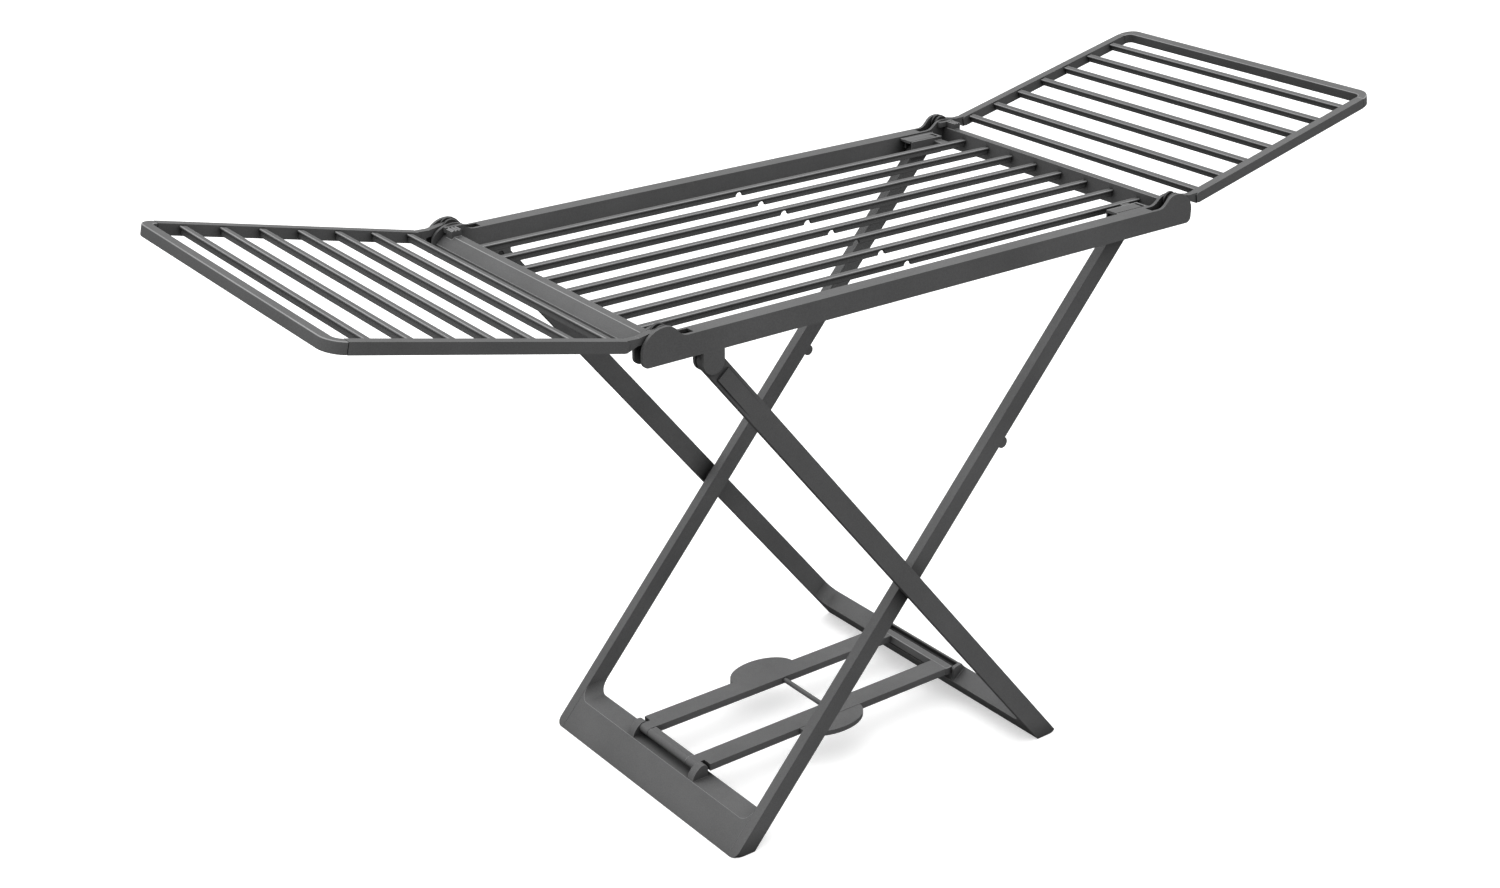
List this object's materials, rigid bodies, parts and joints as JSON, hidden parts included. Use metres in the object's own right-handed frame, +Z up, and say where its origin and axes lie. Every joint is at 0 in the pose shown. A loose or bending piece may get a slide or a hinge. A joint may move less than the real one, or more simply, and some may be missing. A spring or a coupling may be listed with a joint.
{
  "type": "clothes drying rack",
  "caption": "Folding floor drying rack in dark grey plastic with a slatted bed, raised slatted wings, a scissor stand and a floor brace.",
  "frame": {"origin": "centre of the standing rack's footprint box, on the floor", "axes": "+X along the rack's length, towards the wing over the outer legs' feet, +Y across it, +Z up from the floor"},
  "size_m": [1.8574, 0.55, 0.9641],
  "materials": {
    "bed_plastic": "matte",
    "wing_plastic": "matte",
    "stand_plastic": "matte",
    "pin_plastic": "satin"
  },
  "bodies": {
    "bed": {"bed_bar_1": "bed_plastic", "bed_bar_2": "bed_plastic", "bed_bar_3": "bed_plastic", "bed_bar_4": "bed_plastic", "bed_bar_5": "bed_plastic", "bed_bar_6": "bed_plastic", "bed_bar_7": "bed_plastic", "bed_bar_8": "bed_plastic", "corner_gusset_back": "bed_plastic", "corner_gusset_front": "bed_plastic", "end_beam_left": "bed_plastic", "end_beam_right": "bed_plastic", "leg_pivot_pin_back": "pin_plastic", "leg_pivot_pin_front": "pin_plastic", "side_rail_back": "bed_plastic", "side_rail_front": "bed_plastic", "wing_pin_left_back": "pin_plastic", "wing_pin_left_front": "pin_plastic", "wing_pin_right_back": "pin_plastic", "wing_pin_right_front": "pin_plastic"},
    "wing_left": {"wing_left_bar_1": "wing_plastic", "wing_left_bar_2": "wing_plastic", "wing_left_bar_3": "wing_plastic", "wing_left_bar_4": "wing_plastic", "wing_left_bar_5": "wing_plastic", "wing_left_bar_6": "wing_plastic", "wing_left_bar_7": "wing_plastic", "wing_left_rail_back": "wing_plastic", "wing_left_rail_front": "wing_plastic", "wing_left_tip": "wing_plastic"},
    "wing_right": {"wing_right_bar_1": "wing_plastic", "wing_right_bar_2": "wing_plastic", "wing_right_bar_3": "wing_plastic", "wing_right_bar_4": "wing_plastic", "wing_right_bar_5": "wing_plastic", "wing_right_bar_6": "wing_plastic", "wing_right_bar_7": "wing_plastic", "wing_right_rail_back": "wing_plastic", "wing_right_rail_front": "wing_plastic", "wing_right_tip": "wing_plastic"},
    "outer_legs": {"cross_pin_back": "pin_plastic", "cross_pin_front": "pin_plastic", "outer_foot_beam": "stand_plastic", "outer_leg_back": "stand_plastic", "outer_leg_front": "stand_plastic"},
    "inner_legs": {"brace_axle": "pin_plastic", "inner_foot_beam": "stand_plastic", "inner_leg_back": "stand_plastic", "inner_leg_front": "stand_plastic"},
    "floor_brace": {"brace_crossbar_left": "stand_plastic", "brace_crossbar_right": "stand_plastic", "brace_rail_back": "stand_plastic", "brace_rail_front": "stand_plastic", "brace_rod": "stand_plastic"}
  },
  "joints": [
    {"name": "wing_left_fold", "type": "hinge", "parent": "bed", "child": "wing_left", "pos_m": [-0.47, 0, 0.868], "axis": [0, 1, 0], "range_deg": [0, 167]},
    {"name": "wing_right_fold", "type": "hinge", "parent": "bed", "child": "wing_right", "pos_m": [0.47, 0, 0.868], "axis": [0, -1, 0], "range_deg": [0, 167]},
    {"name": "leg_fold", "type": "hinge", "parent": "bed", "child": "outer_legs", "pos_m": [-0.393, 0, 0.814], "axis": [0, -1, 0], "range_deg": [0, 49.5]},
    {"name": "inner_leg_fold", "type": "hinge", "parent": "outer_legs", "child": "inner_legs", "pos_m": [-0.0121, 0, 0.3483], "axis": [0, -1, 0], "range_deg": [0, 76.8]},
    {"name": "brace_fold", "type": "hinge", "parent": "inner_legs", "child": "floor_brace", "pos_m": [-0.279, 0, 0.0545], "axis": [0, -1, 0], "range_deg": [0, 49.6]}
  ],
  "couplings": [
    {"joint": "inner_leg_fold", "follows": "leg_fold", "ratio": 1.55},
    {"joint": "brace_fold", "follows": "leg_fold", "ratio": 1}
  ]
}
